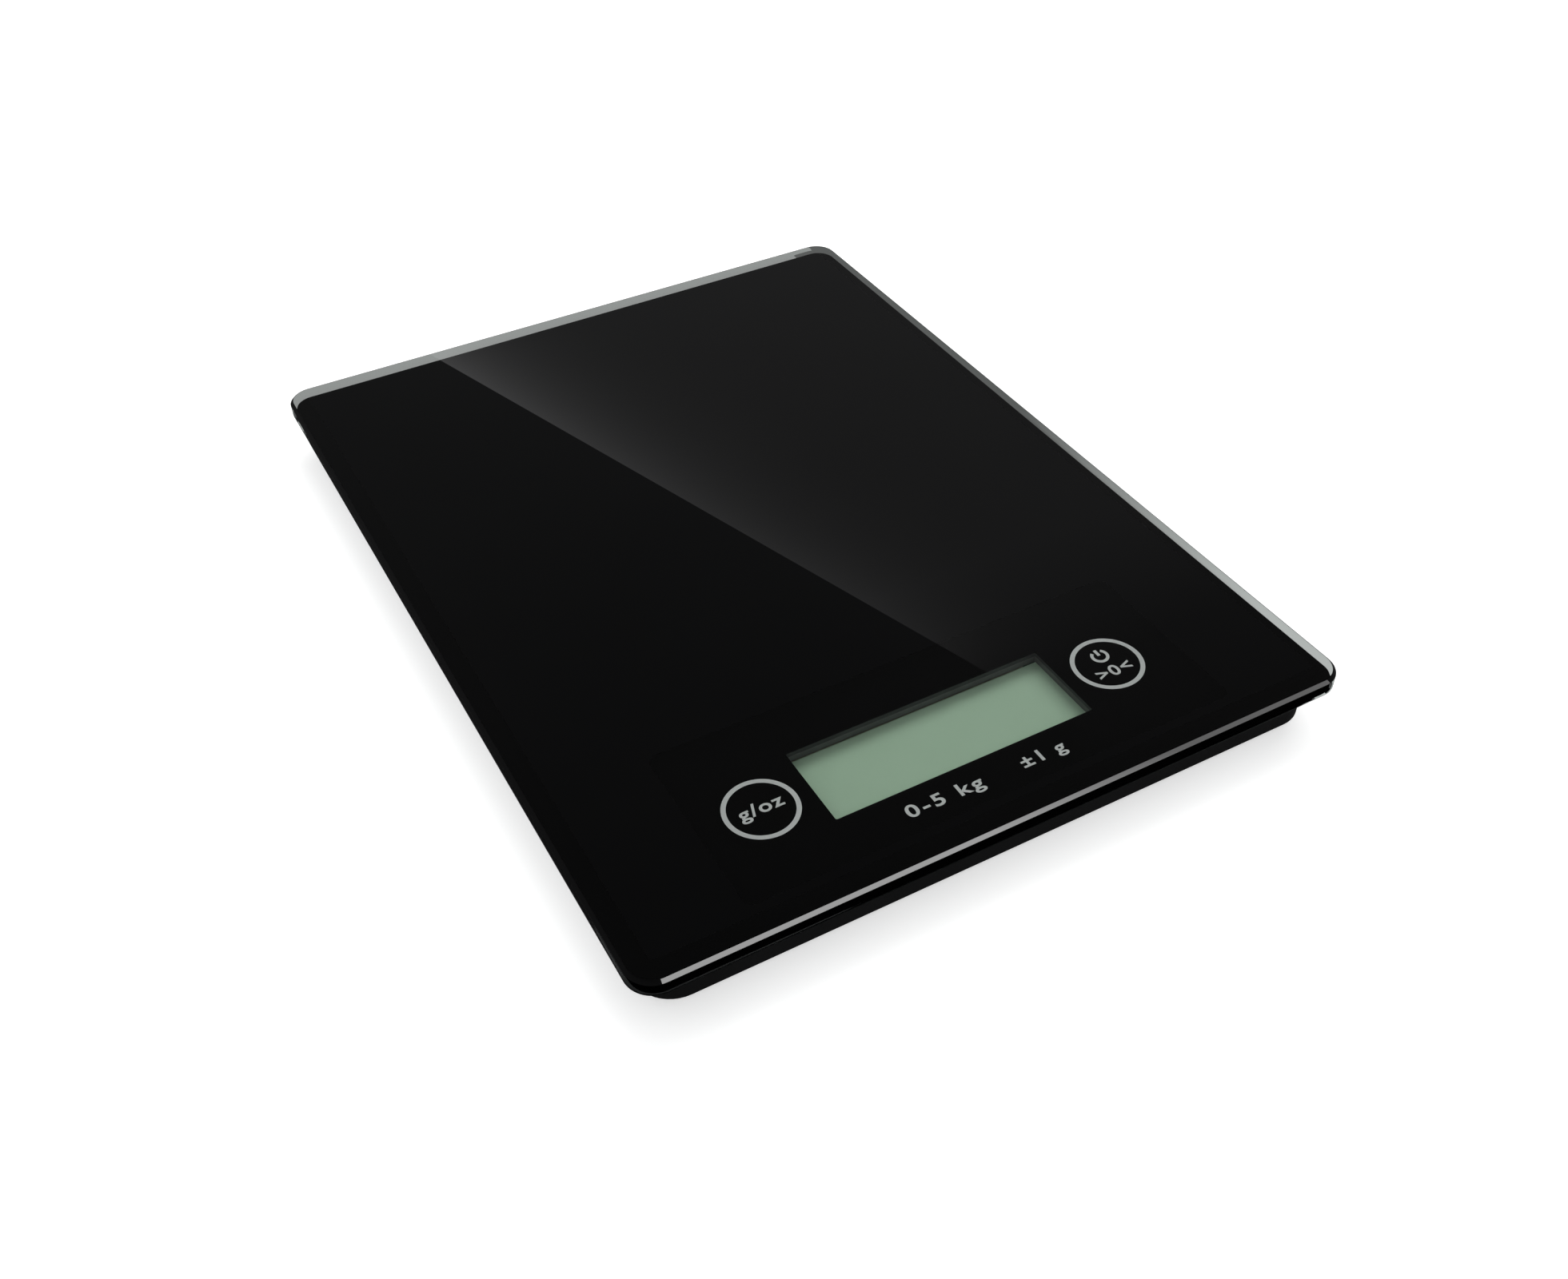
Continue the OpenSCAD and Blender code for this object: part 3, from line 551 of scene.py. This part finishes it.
def card(name, corners, build, transmission=False, glossy=True):
    """Emitting card that only reflections, or only rays through the glass, can see."""
    me = bpy.data.meshes.new(name)
    me.from_pydata([tuple(c) for c in corners], [], [(0, 1, 2, 3)])
    m = bpy.data.materials.new(name)
    m.use_nodes = True
    nt = m.node_tree
    nt.nodes.clear()
    out = nt.nodes.new("ShaderNodeOutputMaterial")
    e = nt.nodes.new("ShaderNodeEmission")
    nt.links.new(e.outputs[0], out.inputs[0])
    sep = nt.nodes.new("ShaderNodeSeparateXYZ")
    nt.links.new(coords(nt), sep.inputs[0])
    build(nt, e, sep.outputs["X"], sep.outputs["Y"], sep.outputs["Z"])
    me.materials.append(m)
    ob = bpy.data.objects.new(name, me)
    scene.collection.objects.link(ob)
    ob.visible_camera = False
    ob.visible_diffuse = False
    ob.visible_glossy = glossy
    ob.visible_transmission = transmission
    ob.visible_shadow = False
    ob.visible_volume_scatter = False
    return ob


# the far card: its straight left edge is what crosses the glass as a slanting line of light
mirror_eye = Vector((eye.x, eye.y, 2 * Z1 - eye.z))
FAR_Y = 1.3


def through(x, y):
    """Point on the far plane that the glass shows at (x, y) on its top, both in mm."""
    d = Vector((x * MM, y * MM, Z1)) - mirror_eye
    return mirror_eye + d * ((FAR_Y - mirror_eye.y) / d.y)


def slant(y):
    return -38.6 - 0.3235 * (y - 99.3)


low_left, low_right = through(slant(125), 125), through(170, 125)
top_left, top_right = through(slant(-125), -125), through(190, -125)


def far_build(nt, e, x, y, z):
    t = math_node(nt, "DIVIDE", math_node(nt, "SUBTRACT", z, mirror_eye.z), Z1 - mirror_eye.z)
    slope = (top_left.x - low_left.x) / (top_left.z - low_left.z)
    edge = math_node(nt, "MULTIPLY_ADD", z, slope)
    edge.node.inputs[2].default_value = low_left.x - slope * low_left.z
    s_mm = math_node(nt, "MULTIPLY", math_node(nt, "DIVIDE", math_node(nt, "SUBTRACT", x, edge), t), 1000.0)
    plate_y = math_node(nt, "MULTIPLY", math_node(nt, "ADD", math_node(nt, "DIVIDE", FAR_Y - mirror_eye.y, t), mirror_eye.y), 1000.0)
    fall = math_node(nt, "POWER", math.e, math_node(nt, "MULTIPLY", s_mm, -1 / 11.5))
    pos = spread(nt, plate_y, 0.0, 1.0, -110.0, 110.0)

    def curve(stops):
        r = nt.nodes.new("ShaderNodeValToRGB")
        r.color_ramp.interpolation = "LINEAR"
        els = r.color_ramp.elements
        els[0].position, els[0].color = (stops[0][0] + 110) / 220, (stops[0][1],) * 3 + (1,)
        els[1].position, els[1].color = (stops[-1][0] + 110) / 220, (stops[-1][1],) * 3 + (1,)
        for yy, v in stops[1:-1]:
            c = els.new((yy + 110) / 220)
            c.color = (v, v, v, 1)
        nt.links.new(pos, r.inputs[0])
        return r.outputs[0]

    amp = curve([(-80, 0.0), (-68, 0.04), (-56, 0.11), (-40, 0.16), (0, 0.195), (50, 0.30), (95, 0.42)])
    flat = curve([(-108, 0.060), (-78, 0.075), (-60, 0.100), (-40, 0.122), (100, 0.126)])
    total = math_node(nt, "ADD", math_node(nt, "MULTIPLY", amp, fall), flat)
    nt.links.new(total, e.inputs["Strength"])
    e.inputs["Color"].default_value = (1.0, 1.0, 1.01, 1)


card("far_card", (low_left, low_right, top_right, top_left), far_build)


# seen only in the bevel along the display end
def front_build(nt, e, x, y, z):
    nt.links.new(spread(nt, x, 7.6, 2.5, 0.56, 0.76), e.inputs["Strength"])


card("front_card", ((-0.15, -1.3, 0.35), (1.25, -0.95, 0.35), (1.25, -0.95, 1.15), (-0.15, -1.3, 1.15)), front_build)


# what the clear edges show of the floor is painted on a glowing card that lights nothing: painted light past the near
# right corner, painted shade farther back
def edge_build(nt, e, x, y, z):
    right = math_node(nt, "GREATER_THAN", x, 0.0795)
    side = spread(nt, y, 0.52, 0.115, -0.076, 0.014)
    rear = spread(nt, y, 0.02, 0.34, 0.105, 0.108)
    mix = math_node(nt, "ADD", math_node(nt, "MULTIPLY", right, side), math_node(nt, "MULTIPLY", math_node(nt, "SUBTRACT", 1.0, right), rear))
    nt.links.new(mix, e.inputs["Strength"])
    e.inputs["Color"].default_value = (0.98, 1.0, 0.99, 1)


card("edge_card", ((-0.4, -0.4, -0.00003), (0.4, -0.4, -0.00003), (0.4, 0.4, -0.00003), (-0.4, 0.4, -0.00003)), edge_build, transmission=True, glossy=False)

# a pale backdrop round the floor, for low viewing angles only: it lights and reflects nothing
B = 4.45
bm_mesh = bpy.data.meshes.new("backdrop")
bm_mesh.from_pydata([(-B, -B, -0.01), (B, -B, -0.01), (B, B, -0.01), (-B, B, -0.01), (-B, -B, 7), (B, -B, 7), (B, B, 7), (-B, B, 7)], [],
                    [(0, 1, 5, 4), (1, 2, 6, 5), (2, 3, 7, 6), (3, 0, 4, 7)])
bmat = bpy.data.materials.new("pale_backdrop")
bmat.use_nodes = True
bnt = bmat.node_tree
bnt.nodes.clear()
bout = bnt.nodes.new("ShaderNodeOutputMaterial")
bem = bnt.nodes.new("ShaderNodeEmission")
bem.inputs["Color"].default_value = (0.98, 0.985, 0.985, 1)
bnt.links.new(spread(bnt, noise(bnt, coords(bnt), 0.4, 2, 0.5), 0.80, 0.84), bem.inputs["Strength"])
bnt.links.new(bem.outputs[0], bout.inputs[0])
bm_mesh.materials.append(bmat)
backdrop = bpy.data.objects.new("backdrop", bm_mesh)
scene.collection.objects.link(backdrop)
backdrop.visible_diffuse = False
backdrop.visible_glossy = False
backdrop.visible_transmission = False
backdrop.visible_shadow = False
backdrop.visible_volume_scatter = False

world = bpy.data.worlds.new("studio")
scene.world = world
world.use_nodes = True
wnt = world.node_tree
wnt.nodes.clear()
wout = wnt.nodes.new("ShaderNodeOutputWorld")
wbg = wnt.nodes.new("ShaderNodeBackground")
wsep = wnt.nodes.new("ShaderNodeSeparateXYZ")
wnt.links.new(wnt.nodes.new("ShaderNodeTexCoord").outputs["Generated"], wsep.inputs[0])
wnt.links.new(spread(wnt, wsep.outputs["Z"], 0.085, 0.05, 0.45, 0.85), wbg.inputs["Strength"])
wbg.inputs["Color"].default_value = (0.98, 0.99, 1.0, 1)
wnt.links.new(wbg.outputs[0], wout.inputs[0])

scene.view_settings.view_transform = "Standard"
scene.view_settings.look = "None"
scene.view_settings.exposure = 0.0
scene.view_settings.gamma = 1.0
